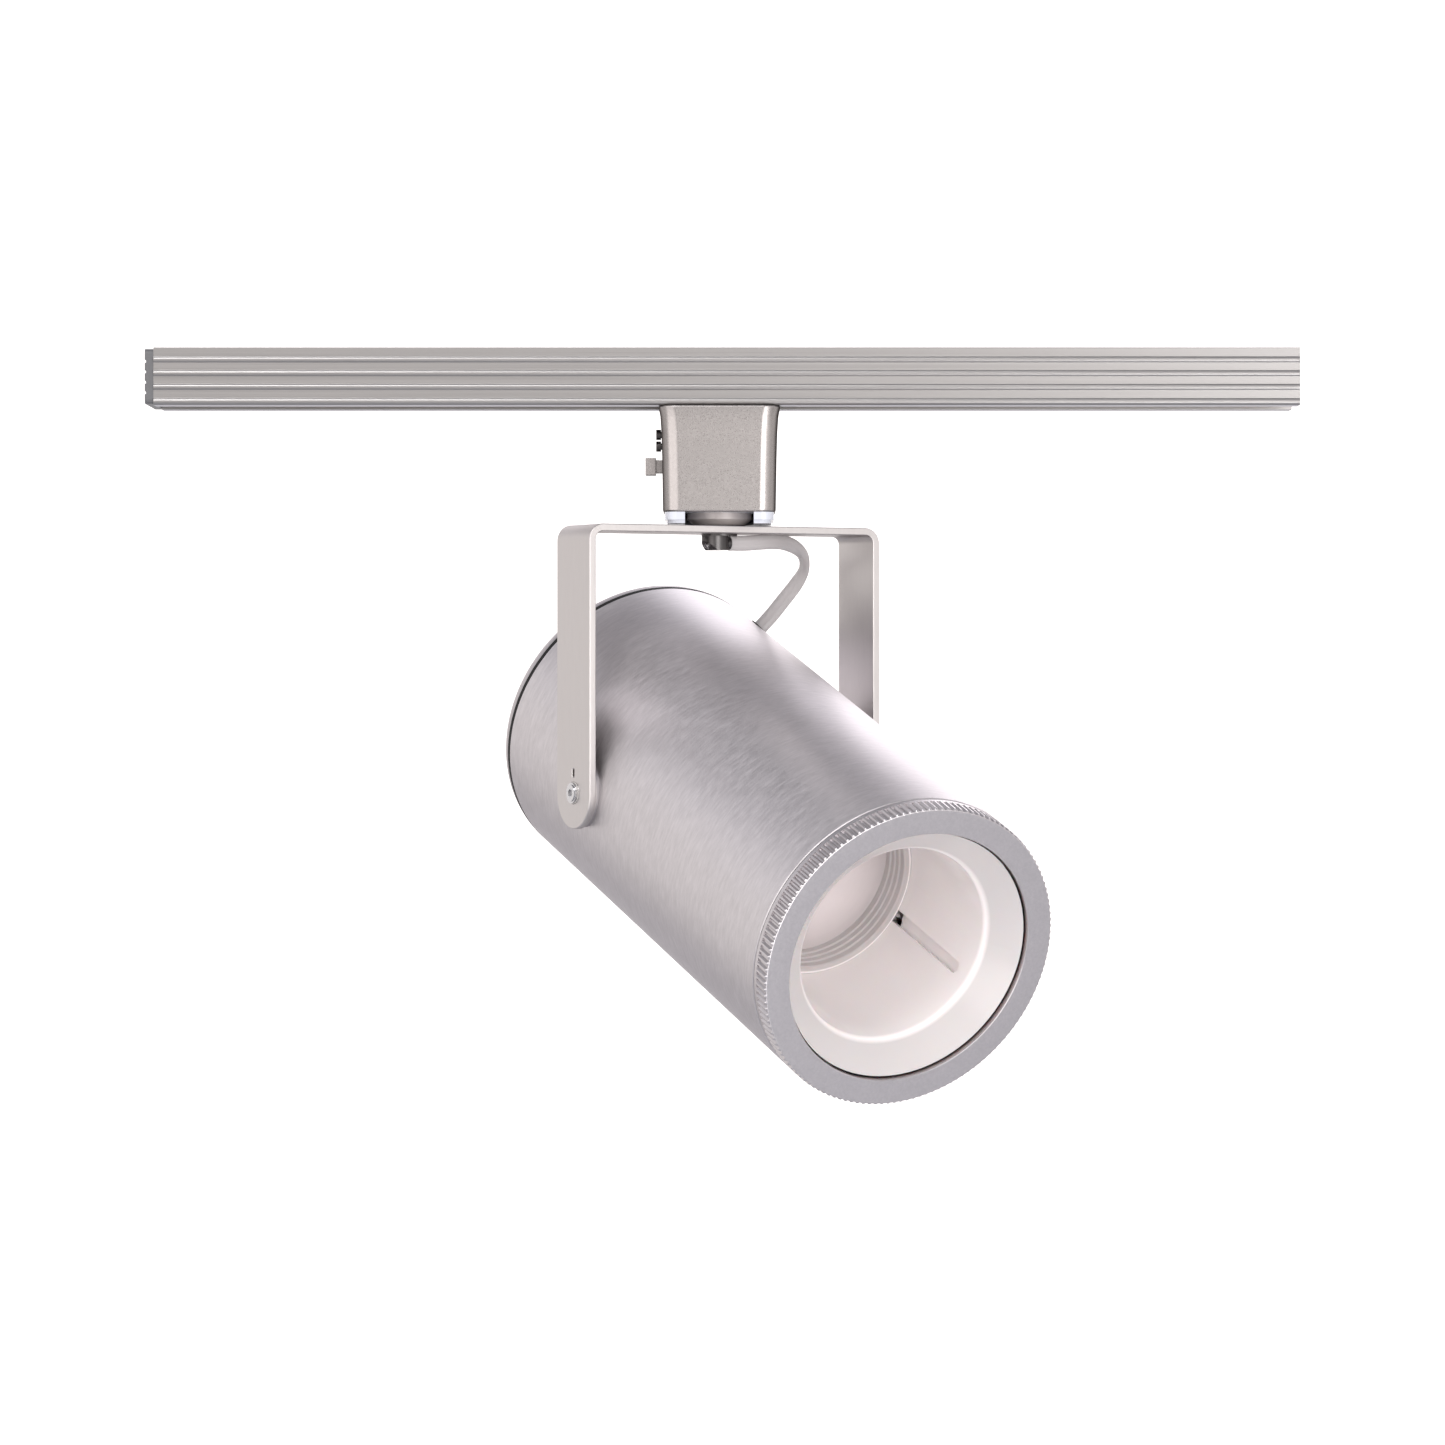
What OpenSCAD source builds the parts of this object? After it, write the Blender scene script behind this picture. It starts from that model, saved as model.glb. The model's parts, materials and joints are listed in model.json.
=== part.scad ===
// Track spotlight: a short length of two-circuit-conductor lighting track, a
// clip-in adapter, a swivelling yoke and a tilting cylindrical zoom head.
// Origin at the centre of the track's top face. +Z up, the track along X.

/* [Track] */
// Length of the aluminium rail
rail_len = 329.5; // [250:0.5:600]
// Width of the rail across its section
rail_w = 35; // [33:0.5:38]
// Height of the rail
rail_h = 16.6; // [16.4:0.1:18]
// Wall thickness of the rail
rail_wall = 1.6; // [1.2:0.1:2]
// Width of the slot along the underside
slot_w = 17; // [16:0.5:18]
// Distance between the two ceiling screw holes
screw_pitch = 250; // [150:10:250]
// Diameter of the ceiling screw holes
screw_hole = 4.5; // [4:0.1:5]

/* [Adapter] */
// Length of the adapter along the track, at its top
adapter_len = 35; // [33:0.5:40]
// Depth of the adapter across the track, at its top
adapter_dep = 38; // [37:0.5:40]
// How much each side leans in from top to bottom
adapter_draft = 1.25; // [0.5:0.05:2]
// Radius of the adapter's upright corners
adapter_corner = 5; // [4:0.5:10]
// Travel of the lock lever
lever_travel = 5; // [3:0.5:5]

/* [Yoke] */
// Pan angle of the yoke at rest
pan = 28.4; // [-90:0.1:90]
// Clear width between the yoke arms
yoke_inner = 91; // [91:0.1:96]
// Width of the yoke strap
strap_w = 20.6; // [18:0.1:22]
// Thickness of the yoke strap
strap_t = 2.1; // [1.8:0.1:2.5]
// Tilt axis below the top of the track
pivot_drop = 128; // [128:0.5:140]
// Underside of the yoke's crossbar above the tilt axis
plate_rise = 74.9; // [74.9:0.1:78]

/* [Head] */
// Tilt of the head below the horizontal at rest
tilt = 22; // [0:0.5:90]
// Outer diameter of the head
head_d = 89; // [86:0.5:89]
// Wall thickness of the head tube
head_wall = 2.2; // [1.8:0.1:2.2]
// Front face of the focus ring ahead of the tilt axis
nose = 118.5; // [118.5:0.5:122]
// Back face of the rear cap behind the tilt axis
tail = 57; // [56:0.5:57]
// Edge radius of the rear cap
tail_r = 6.5; // [5:0.5:8]
// Number of grip teeth round the focus ring
grip_teeth = 140; // [90:2:160]
// Inner diameter of the focus ring's face
ring_bore = 73.8; // [73:0.2:76]

/* [Zoom optics] */
// Inner diameter of the guide sleeve
sleeve_bore = 56.8; // [56.8:0.1:57.2]
// Travel of the lens carrier
zoom_travel = 37; // [20:1:37]
// Turn of the focus ring that gives the full travel
ring_turn = 120; // [90:5:140]
// Angle of the guide slot round the axis, from the tilt axis
slot_angle = -22.5; // [-60:0.5:0]

/* [Hidden] */
$fn = 96;
eps = 0.01;

// Track
cap_t = 2.5;
rail_x0 = -rail_len / 2 + 2.1;
rail_x1 = rail_len / 2 + 2.1;
cavity_w = rail_w - 2 * rail_wall;
liner_t = 4.5;
liner_z0 = -rail_h + rail_wall;
liner_z1 = -rail_wall - 1;
bar_z = -9;
bar_h = 3;
bar_t = 1.4;
liner_groove = 3;
bead_z = [-3.5, -7.45, -11.4, 1.1 - rail_h];
bead_r = 1.1;
face_inset = 0.4;
ground_y = 6;
plug_len = 6.5;
plug_w = 21.6;

// Adapter
adapter_z1 = -rail_h;
adapter_z0 = -47.2;
cover_z0 = -50.5;
adapter_wall = 1.8;
neck_len = 30;
neck_w = 14.4;
neck_z1 = -3.6;
ear_w = 22;
blade_t = 2;
boss_d = 18.8;
boss_z0 = -50.7;
boss_bevel = 1.7;
cover_gap = 9.9;
bushing_z1 = -41.6;
lever_x0 = -21.4;
lever_z1 = -31.2;
lever_h = 4.9;
lever_w = 8;
rivet_x = -adapter_len / 2 + 0.6;
rivet_y = -3.2;
rivet_z = [-24.5, -27.9];
cover_screws = [[-11.6, 6], [11.6, 6]];
post_z0 = bushing_z1 + 0.1;

// Yoke
pivot_z = -pivot_drop;
plate_z0 = pivot_z + plate_rise;
plate_z1 = plate_z0 + strap_t;
bend_r = 2.4;
stem_d = 8;
stem_bore = 5.5;
stem_z1 = -38;
nut_d = 10.4;
nut_t = 0.6;
elbow_d = 7.8;
elbow_z0 = pivot_z + 70.2;
elbow_z1 = plate_z0 - nut_t;
elbow_x = -1.4;
elbow_face = 3.2;
bush_d = 6.2;
pivot_d = 4;

// Head, measured along its axis from the tilt axis, forward positive
head_r = head_d / 2;
tube_r = head_r - head_wall;
seam_s = -tail + tail_r;
gasket_t = 1.3;
tube_s0 = seam_s + gasket_t;
ring_s0 = nose - 7;
tube_s1 = ring_s0 - 0.2;
band_s0 = nose - 5.6;
band_s1 = nose - 0.4;
tooth_d = 0.6;
sink_s0 = 9;
sink_s1 = 14;
fin_n = 9;
fin_pitch = 7.6;
fin_t = 2;
fin_r = 36;
fin_s0 = -28;
entry_s = -44;
entry_angle = 50;
entry_r = head_r + 0.3;
spacer_d = 19.5;
spacer_x1 = yoke_inner / 2 - 0.6;
washer_x1 = yoke_inner / 2 - 0.1;

// Zoom optics
sleeve_r = sleeve_bore / 2;
sleeve_wall = 1.9;
sleeve_s0 = 38;
mouth_s = nose - 11;
mouth_r = 3;
bezel_r = 36.4;
pin_s = 64;
pin_d = 3;
slot_width = 3.6;
cam_r0 = sleeve_r + sleeve_wall + 0.08;
cam_t = 2;
cam_s0 = 58;
cam_s1 = nose - 13.5;
cam_flange_s = 101;
cam_slot_r = 2.3;
cam_cuts = 32;
carrier_r = sleeve_r - 0.06;
carrier_s0 = 48;
carrier_s1 = 66;
lens_r = 26.2;
post_r = 36.5;
post_angles = [90, 210, 330];
cap_screw_r = 26;

// Cord route in the yoke's frame: across, back, and above the tilt axis
cord_d = 3.4;
cord_route = [[3.2, 0, 72.25], [8.5, 0.2, 72.3], [14, 1, 72.7], [19.5, 3, 73],
    [25, 6, 72.8], [31, 10, 71.4], [36, 14.6, 68.8], [38.6, 19, 65.2],
    [37.6, 21.9, 61.2], [34.9, 24.4, 56.6], [31.8, 26.4, 52], [28.8, 27.94, 48.3]];
cord_steps = 6;
cord_sides = 8;

// ---------- helpers ----------

// Head lathe frame: X along the tilt axis, Y up, Z forward along the head
module in_head()
    translate([0, 0, pivot_z]) rotate([0, 0, pan]) rotate([tilt, 0, 0])
        rotate([90, 0, 0]) children();

module in_yoke() rotate([0, 0, pan]) children();

module tube(r1, r0, z0, z1)
    translate([0, 0, z0]) difference() {
        cylinder(r = r1, h = z1 - z0);
        translate([0, 0, -1]) cylinder(r = r0, h = z1 - z0 + 2);
    }

module disc(r, z0, z1) translate([0, 0, z0]) cylinder(r = r, h = z1 - z0);

module box(x0, x1, y0, y1, z0, z1)
    translate([x0, y0, z0]) cube([x1 - x0, y1 - y0, z1 - z0]);

module rounded_rect(w, d, r) {
    square([w - 2 * r, d], center = true);
    square([w, d - 2 * r], center = true);
    for (x = [-1, 1], y = [-1, 1])
        translate([x * (w / 2 - r), y * (d / 2 - r)]) circle(r = r);
}

// A rod along +X from x0 to x1
module rod_x(r, x0, x1)
    translate([x0, 0, 0]) rotate([0, 90, 0]) cylinder(r = r, h = x1 - x0);

// Points of an arc, for an outline
function arc(c, r, a0, a1, n) =
    [for (i = [0:n]) let (a = a0 + (a1 - a0) * i / n) c + r * [cos(a), sin(a)]];

function unit(v) = v / norm(v);

// ---------- track ----------

module rail_section() {
    difference() {
        union() {
            translate([-rail_w / 2 + face_inset, bead_r - rail_h])
                square([rail_w - 2 * face_inset, rail_h - bead_r]);
            translate([-rail_w / 2 + bead_r, -rail_h]) square([rail_w - 2 * bead_r, 2]);
            for (z = bead_z, side = [-1, 1])
                translate([side * (rail_w / 2 - bead_r), z]) circle(r = bead_r);
        }
        translate([-cavity_w / 2, -rail_h + rail_wall])
            square([cavity_w, rail_h - 2 * rail_wall]);
        translate([-slot_w / 2, -rail_h - 1]) square([slot_w, rail_wall + 2]);
    }
}

module along_rail(x0, x1)
    translate([x0, 0, 0]) rotate([90, 0, 90]) linear_extrude(x1 - x0) children();

module track_rail() color([0.75, 0.73, 0.72]) difference() {
    along_rail(rail_x0, rail_x1) rail_section();
    for (x = [-1, 1])
        translate([x * screw_pitch / 2, 0, -rail_wall - 1])
            cylinder(d = screw_hole, h = rail_wall + 2);
}

module insulator(side) color([0.92, 0.91, 0.88])
    along_rail(rail_x0, rail_x1) difference() {
        mirror([side < 0 ? 1 : 0, 0])
            translate([cavity_w / 2 - liner_t, liner_z0])
                square([liner_t, liner_z1 - liner_z0]);
        mirror([side < 0 ? 1 : 0, 0])
            translate([cavity_w / 2 - liner_t - 1, bar_z - bar_h / 2])
                square([liner_groove + 1, bar_h]);
    }

module insulator_front() insulator(-1);
module insulator_rear() insulator(1);

module conductor(side) color([0.80, 0.46, 0.28])
    along_rail(rail_x0, rail_x1)
        mirror([side < 0 ? 1 : 0, 0])
            translate([cavity_w / 2 - liner_t + liner_groove - bar_t, bar_z - bar_h / 2])
                square([bar_t, bar_h]);

module conductor_live() conductor(-1);
module conductor_neutral() conductor(1);

module ground_strip() color([0.80, 0.46, 0.28])
    box(rail_x0, rail_x1, ground_y - 1.5, ground_y + 1.5, -rail_wall - 1, -rail_wall);

module track_end_cap() color([0.32, 0.32, 0.33]) difference() {
    union() {
        translate([rail_x0 - cap_t, 0, -rail_h / 2]) rotate([90, 0, 90])
            linear_extrude(cap_t) rounded_rect(rail_w - 1, rail_h - 0.8, 1.5);
        box(rail_x0, rail_x0 + plug_len, -plug_w / 2, plug_w / 2,
            liner_z0 + 0.4, -rail_wall - 1.3);
    }
    for (z = [-4, -7, -10, -13])
        box(rail_x0 - cap_t - 1, rail_x0 - cap_t + 0.4, -rail_w, rail_w, z - 0.4, z + 0.4);
    translate([rail_x0 + plug_len / 2, 0, -rail_h]) cylinder(r = 1.55, h = rail_h);
}

module end_cap_screw() color([0.7, 0.7, 0.72])
    translate([rail_x0 + plug_len / 2, 0, 0]) difference() {
        disc(1.5, -13.2, -rail_wall);
        translate([0, 0, -13.3]) cylinder(r = 0.8, h = 1.6, $fn = 6);
    }

// ---------- adapter ----------

// A tapered block with rounded upright corners, set in from the outer skin
module adapter_block(inset, z0, z1) hull() {
    translate([0, 0, z1 - eps]) linear_extrude(eps)
        rounded_rect(adapter_len - 2 * inset, adapter_dep - 2 * inset,
            adapter_corner - inset, $fn = 32);
    translate([0, 0, z0]) linear_extrude(eps)
        rounded_rect(adapter_len - 2 * inset - 2 * adapter_draft,
            adapter_dep - 2 * inset - 2 * adapter_draft, adapter_corner - inset, $fn = 32);
}

module adapter_housing() color([0.71, 0.69, 0.68]) difference() {
    adapter_block(0, adapter_z0, adapter_z1);
    adapter_block(adapter_wall, adapter_z0 - 1, adapter_z1 - 2);
    box(-neck_len / 2 - 0.05, neck_len / 2 + 0.05, -neck_w / 2 - 0.05, neck_w / 2 + 0.05,
        adapter_z1 - 5, 0);
    box(-30, -adapter_len / 2 + 4, -lever_w / 2 + 0.8, lever_w / 2 - 0.8,
        lever_z1 - lever_h - lever_travel + 0.3, lever_z1 + 0.3);
    for (z = rivet_z) translate([0, rivet_y, z]) {
        rod_x(1, -30, -10);
        rod_x(1.55, -30, rivet_x);
    }
}

module adapter_bottom_cover() color([0.80, 0.81, 0.84]) difference() {
    union() {
        translate([0, 0, cover_z0 + 1]) linear_extrude(adapter_z0 - cover_z0 - 1)
            rounded_rect(adapter_len - 3.6, adapter_dep - 3.6, adapter_corner - 1.2);
        translate([0, 0, cover_z0]) linear_extrude(1)
            rounded_rect(adapter_len - 5, adapter_dep - 5, adapter_corner - 2);
        translate([0, 0, adapter_z0]) linear_extrude(3)
            rounded_rect(adapter_len - 2 * adapter_draft - 2 * adapter_wall - 0.4,
                adapter_dep - 2 * adapter_draft - 2 * adapter_wall - 0.4,
                adapter_corner - adapter_wall);
    }
    disc(boss_d / 2 + 0.05, cover_z0 - 1, adapter_z0 + 4);
    disc(cover_gap, cover_z0 - 1, adapter_z0);
    box(-cover_gap, cover_gap, -adapter_dep, 0, cover_z0 - 1, adapter_z0);
    for (at = cover_screws) translate(at) {
        disc(1.55, cover_z0 - 1, adapter_z0 + 4);
        disc(2.6, cover_z0 - 1, cover_z0 + 1.2);
    }
}

module adapter_screws() color([0.75, 0.75, 0.77])
    for (at = cover_screws) translate(at) difference() {
        union() {
            disc(2.5, cover_z0 + 0.1, cover_z0 + 1.2);
            disc(1.5, cover_z0 + 1.2, adapter_z0 + 12);
        }
        translate([0, 0, cover_z0]) {
            cube([3, 0.6, 1.4], center = true);
            cube([0.6, 3, 1.4], center = true);
        }
    }

module adapter_neck() color([0.12, 0.12, 0.13]) difference() {
    union() {
        box(-neck_len / 2, neck_len / 2, -neck_w / 2, neck_w / 2, -26, neck_z1);
        box(-6, 6, -ear_w / 2, ear_w / 2, liner_z0 + 0.5, liner_z0 + 3);
        for (at = cover_screws) translate(at) disc(2.4, post_z0, -25);
    }
    for (at = cover_screws) translate(at) disc(1.55, post_z0 - 1, post_z0 + 8);
    box(-neck_len / 2 - 1, -neck_len / 2 + 2.3, -neck_w, neck_w, -27, liner_z0 + 3.4);
    for (side = [-1, 1])
        box(8, 12, side > 0 ? neck_w / 2 - 2 : -neck_w / 2 - 1,
            side > 0 ? neck_w / 2 + 1 : -neck_w / 2 + 2, bar_z - 6, bar_z + 1);
    box(8, 12, ground_y - 1.3, ground_y + 1.3, neck_z1 - 2, neck_z1 + 1);
}

// A spring contact: a foot in the neck, a post and a blade in the rail's groove
module side_contact(side) color([0.85, 0.52, 0.32])
    mirror([0, side < 0 ? 1 : 0, 0]) {
        box(8, 12, neck_w / 2 - 2, neck_w / 2 - 1, bar_z - 6, bar_z + 1);
        box(8, 12, neck_w / 2 - 2, cavity_w / 2 - liner_t + liner_groove - bar_t - 0.1,
            bar_z - blade_t / 2, bar_z + blade_t / 2);
    }

module contact_live() side_contact(-1);
module contact_neutral() side_contact(1);

module ground_contact() color([0.85, 0.52, 0.32])
    box(8, 12, ground_y - 1.3, ground_y + 1.3, neck_z1 - 2, -rail_wall - 1.1);

module swivel_bushing() color([0.70, 0.68, 0.67]) difference() {
    union() {
        disc(boss_d / 2, boss_z0 + boss_bevel, adapter_z0 + 3);
        translate([0, 0, boss_z0]) cylinder(r1 = boss_d / 2 - 2.2, r2 = boss_d / 2, h = boss_bevel);
        disc(12, adapter_z0 + 3, bushing_z1);
    }
    disc(stem_d / 2 + 0.06, boss_z0 - 1, bushing_z1 + 1);
    for (at = cover_screws) translate(at)
        disc(1.9, adapter_z0, bushing_z1 + 1);
}

module lever_guide_rivets() color([0.55, 0.54, 0.54])
    for (z = rivet_z) translate([0, rivet_y, z]) {
        rod_x(0.95, rivet_x, rivet_x + 2);
        rod_x(1.5, rivet_x - 1.4, rivet_x);
    }

// Slides down to free the adapter: thumb tab, stem and a tongue in the rail's slot
module lock_lever() color([0.66, 0.64, 0.63]) {
    z0 = lever_z1 - lever_h;
    box(lever_x0, lever_x0 + 3, -lever_w / 2, lever_w / 2, z0, lever_z1);
    box(lever_x0 + 3, -adapter_len / 2 + adapter_wall + 1.4, -lever_w / 2 + 1.2,
        lever_w / 2 - 1.2, z0 + 0.6, lever_z1 - 0.6);
    box(-adapter_len / 2 + adapter_wall + 1.2, -adapter_len / 2 + adapter_wall + 2.4,
        -lever_w / 2, lever_w / 2, z0 - 0.5, -21);
    box(-neck_len / 2 + 0.3, -neck_len / 2 + 2, -lever_w / 2 + 0.5, lever_w / 2 - 0.5,
        -26, -19);
    box(-neck_len / 2 + 0.3, -neck_len / 2 + 2, -slot_w / 2 + 1.7, slot_w / 2 - 1.7,
        -19.5, liner_z0 + 3);
}

// ---------- yoke ----------

module strap_profile() {
    x1 = yoke_inner / 2 + strap_t;
    difference() {
        union() {
            translate([-x1, pivot_z]) square([2 * x1, plate_z1 - pivot_z - bend_r - strap_t]);
            translate([-x1 + bend_r + strap_t, plate_z0])
                square([2 * (x1 - bend_r - strap_t), strap_t]);
            for (x = [-1, 1])
                translate([x * (x1 - bend_r - strap_t), plate_z0 - bend_r])
                    circle(r = bend_r + strap_t);
        }
        translate([-yoke_inner / 2, pivot_z - 1])
            square([yoke_inner, plate_rise - bend_r + 1]);
        translate([-yoke_inner / 2 + bend_r, pivot_z])
            square([yoke_inner - 2 * bend_r, plate_rise]);
        for (x = [-1, 1])
            translate([x * (yoke_inner / 2 - bend_r), plate_z0 - bend_r]) circle(r = bend_r);
    }
}

module yoke_bracket() color([0.76, 0.74, 0.73]) in_yoke() difference() {
    union() {
        translate([0, strap_w / 2, 0]) rotate([90, 0, 0]) linear_extrude(strap_w)
            strap_profile();
        for (side = [0, 1])
            mirror([side, 0, 0]) translate([0, 0, pivot_z])
                rod_x(strap_w / 2, yoke_inner / 2, yoke_inner / 2 + strap_t);
    }
    translate([0, 0, pivot_z]) rod_x(bush_d / 2, -60, 60);
    disc(stem_d / 2 + 0.02, plate_z0 - 1, plate_z1 + 1);
    box(-60, 0, -0.8, 0.8, pivot_z + 4.5, pivot_z + 6.9);
}

module swivel_stem() color([0.72, 0.70, 0.69]) in_yoke() difference() {
    disc(stem_d / 2, elbow_z1, stem_z1);
    disc(stem_bore / 2, elbow_z1 - 1, stem_z1 + 1);
    tube(stem_d, stem_d / 2 - 0.5, bushing_z1 + 0.1, bushing_z1 + 1.3);
}

module stem_clip() color([0.62, 0.62, 0.64]) in_yoke() difference() {
    tube(8, stem_d / 2 - 0.5, bushing_z1 + 0.1, bushing_z1 + 1.3);
    box(-1.5, 1.5, -10, 0, bushing_z1, bushing_z1 + 2);
}

module swivel_washer() color([0.2, 0.2, 0.21]) in_yoke()
    tube(7.2, stem_d / 2 + 0.02, plate_z1, boss_z0 - 0.02);

module stem_nut() color([0.35, 0.34, 0.34]) in_yoke()
    tube(nut_d / 2, stem_d / 2 + 0.02, elbow_z1, plate_z0);

module elbow_chamfer(depth)
    translate([elbow_x - elbow_d / 2, 0, elbow_z0]) rotate([0, 45, 0])
        cube([2 * depth, 2 * elbow_d, 2 * depth], center = true);

module cord_elbow() color([0.62, 0.60, 0.59]) in_yoke() difference() {
    union() {
        translate([elbow_x, 0, 0]) disc(elbow_d / 2, elbow_z0, elbow_z1);
        disc(stem_bore / 2 - 0.05, elbow_z1 - eps, elbow_z1 + 4);
        translate([0, 0, pivot_z + cord_route[0][2]]) rod_x(1.95, 0, elbow_face);
    }
    elbow_chamfer(1.9);
    disc(1.6, elbow_z1 - 1, elbow_z1 + 5);
    translate([elbow_x - elbow_d / 2 + 1.6, 0, elbow_z0 + 1.6]) rotate([0, -45, 0])
        rod_x(1, -4, 1.2);
}

module elbow_set_screw() color([0.85, 0.85, 0.87]) in_yoke()
    translate([elbow_x - elbow_d / 2 + 1.6, 0, elbow_z0 + 1.6]) rotate([0, -45, 0])
        difference() {
        rod_x(0.95, -1, 1.1);
        translate([-1, 0, 0]) cube([1, 0.35, 3], center = true);
    }

module arm_bushings() color([0.88, 0.87, 0.84]) in_yoke() translate([0, 0, pivot_z])
    for (side = [0, 1]) mirror([side, 0, 0]) difference() {
        rod_x(bush_d / 2, yoke_inner / 2, yoke_inner / 2 + strap_t);
        rod_x(pivot_d / 2 + 0.06, yoke_inner / 2 - 1, yoke_inner / 2 + strap_t + 1);
    }

// Smooth curve through the route's points
function route_at(i) = cord_route[max(0, min(len(cord_route) - 1, i))];
function curve(i, t) =
    let (a = route_at(i - 1), b = route_at(i), c = route_at(i + 1), d = route_at(i + 2))
    0.5 * (2 * b + (c - a) * t + (2 * a - 5 * b + 4 * c - d) * t * t
        + (3 * b - a - 3 * c + d) * t * t * t);
cord_line = concat([for (i = [0:len(cord_route) - 2], k = [0:cord_steps - 1])
    curve(i, k / cord_steps)], [cord_route[len(cord_route) - 1]]);
// Outward direction of the cord's entry, in the yoke's frame
entry_dir = [cos(entry_angle), -sin(entry_angle) * sin(tilt), sin(entry_angle) * cos(tilt)];
function heading(k) = k == 0 ? [1, 0, 0] : k == len(cord_line) - 1 ? -entry_dir
    : unit(cord_line[k + 1] - cord_line[k - 1]);

module power_cord() color([0.58, 0.56, 0.55]) in_yoke() translate([0, 0, pivot_z]) {
    n = len(cord_line);
    points = [for (k = [0:n - 1], j = [0:cord_sides - 1])
        let (side = unit(cross(heading(k), [0, 1, 0])), up = cross(side, heading(k)),
            a = 360 * j / cord_sides)
        cord_line[k] + cord_d / 2 * (cos(a) * side + sin(a) * up)];
    faces = concat(
        [[for (j = [0:cord_sides - 1]) j]],
        [for (k = [0:n - 2], j = [0:cord_sides - 1])
            let (j2 = (j + 1) % cord_sides, a = k * cord_sides, b = a + cord_sides)
            [a + j, b + j, b + j2, a + j2]],
        [[for (j = [cord_sides - 1:-1:0]) (n - 1) * cord_sides + j]]);
    polyhedron(points, faces, convexity = 4);
}

// ---------- head ----------

// Places children at the cord's entry, with +X pointing out of the head
module at_entry() translate([0, 0, entry_s]) rotate([0, 0, entry_angle]) children();

module body_tube() color([0.72, 0.70, 0.71]) in_head() difference() {
    tube(head_r, tube_r, tube_s0, tube_s1);
    rod_x(pivot_d / 2 + 0.2, -60, 60);
    at_entry() rod_x(3.2, 30, 60);
}

module rear_gasket() color([0.08, 0.08, 0.08]) in_head()
    tube(head_r - 0.04, tube_r, seam_s, tube_s0);

module rear_cap() color([0.70, 0.68, 0.69]) in_head() difference() {
    rotate_extrude() polygon(concat(
        [[0, -tail + 2.5], [0, -tail]],
        arc([head_r - tail_r, seam_s], tail_r, -90, 0, 16),
        [[tube_r - 0.08, seam_s], [tube_r - 0.08, seam_s + 2], [tube_r - 2, seam_s + 2],
            [tube_r - 2, seam_s]],
        arc([tube_r - 2 - 4, seam_s], 4, 0, -90, 10)));
    for (a = post_angles) rotate([0, 0, a]) translate([cap_screw_r, 0, 0]) {
        disc(1.6, -tail - 1, -tail + 4);
        disc(3, -tail - 1, -tail + 1.1);
    }
}

module rear_cap_screws() color([0.78, 0.78, 0.80]) in_head()
    for (a = post_angles) rotate([0, 0, a]) translate([cap_screw_r, 0, 0]) difference() {
        union() {
            disc(2.9, -tail + 0.2, -tail + 1.1);
            disc(1.5, -tail + 1.1, -tail + 16);
        }
        translate([0, 0, -tail - 1]) cylinder(r = 1.2, h = 1.9, $fn = 6);
    }

module driver_housing() color([0.93, 0.93, 0.92]) in_head() difference() {
    disc(34, -tail + 11, fin_s0 - 2);
    for (a = post_angles) rotate([0, 0, a]) translate([cap_screw_r, 0, 0])
        disc(1.55, -tail + 10, -tail + 17);
}

module heat_sink() color([0.62, 0.63, 0.65]) in_head() {
    difference() {
        disc(tube_r - 0.05, sink_s0, sink_s1);
        for (a = post_angles) rotate([0, 0, a]) translate([post_r, 0, 0])
            disc(1.55, sink_s1 - 4, sink_s1 + 1);
    }
    intersection() {
        disc(fin_r, fin_s0, sink_s0);
        for (i = [0:fin_n - 1])
            translate([(i - (fin_n - 1) / 2) * fin_pitch - fin_t / 2, -fin_r, fin_s0])
                cube([fin_t, 2 * fin_r, sink_s0 - fin_s0]);
    }
}

module led_board() color([0.95, 0.95, 0.93]) in_head() disc(15, sink_s1, sink_s1 + 1.6);

module led_emitter() color([0.95, 0.85, 0.35]) in_head()
    disc(7, sink_s1 + 1.6, sink_s1 + 2.6);

module led_holder() color([0.9, 0.9, 0.9]) in_head() {
    tube(19, 15.1, sink_s1, sink_s1 + 5);
    tube(15.1 + eps, 9.5, sink_s1 + 3, sink_s1 + 5);
}

module collimator_lens() color([0.85, 0.9, 0.95]) in_head() rotate_extrude()
    polygon([[0, 22], [6, 20], [8.5, 19.2], [22.5, 35.4], [27, 35.4], [27, 37.9],
        [22, 37.9], [12, 39.2], [0, 39.8]]);

module collimator_holder() color([0.88, 0.88, 0.88]) in_head() {
    tube(28, 26.4, sink_s1, 35.4);
    tube(28, 20, sink_s1, sink_s1 + 1.5);
}

module standoffs() color([0.75, 0.75, 0.77]) in_head()
    for (a = post_angles) rotate([0, 0, a]) translate([post_r, 0, 0]) difference() {
        union() {
            disc(3, sink_s1, sleeve_s0);
            disc(1.5, sink_s1 - 3.5, sink_s1);
        }
        disc(1.55, sleeve_s0 - 12, sleeve_s0 + 1);
    }

module sleeve_screws() color([0.78, 0.78, 0.80]) in_head()
    for (a = post_angles) rotate([0, 0, a]) translate([post_r, 0, 0]) difference() {
        union() {
            disc(1.5, sleeve_s0 - 9, sleeve_s0 + 3);
            disc(2.75, sleeve_s0 + 3, sleeve_s0 + 5);
        }
        translate([0, 0, sleeve_s0 + 4]) cylinder(r = 1.3, h = 2, $fn = 6);
    }

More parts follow.
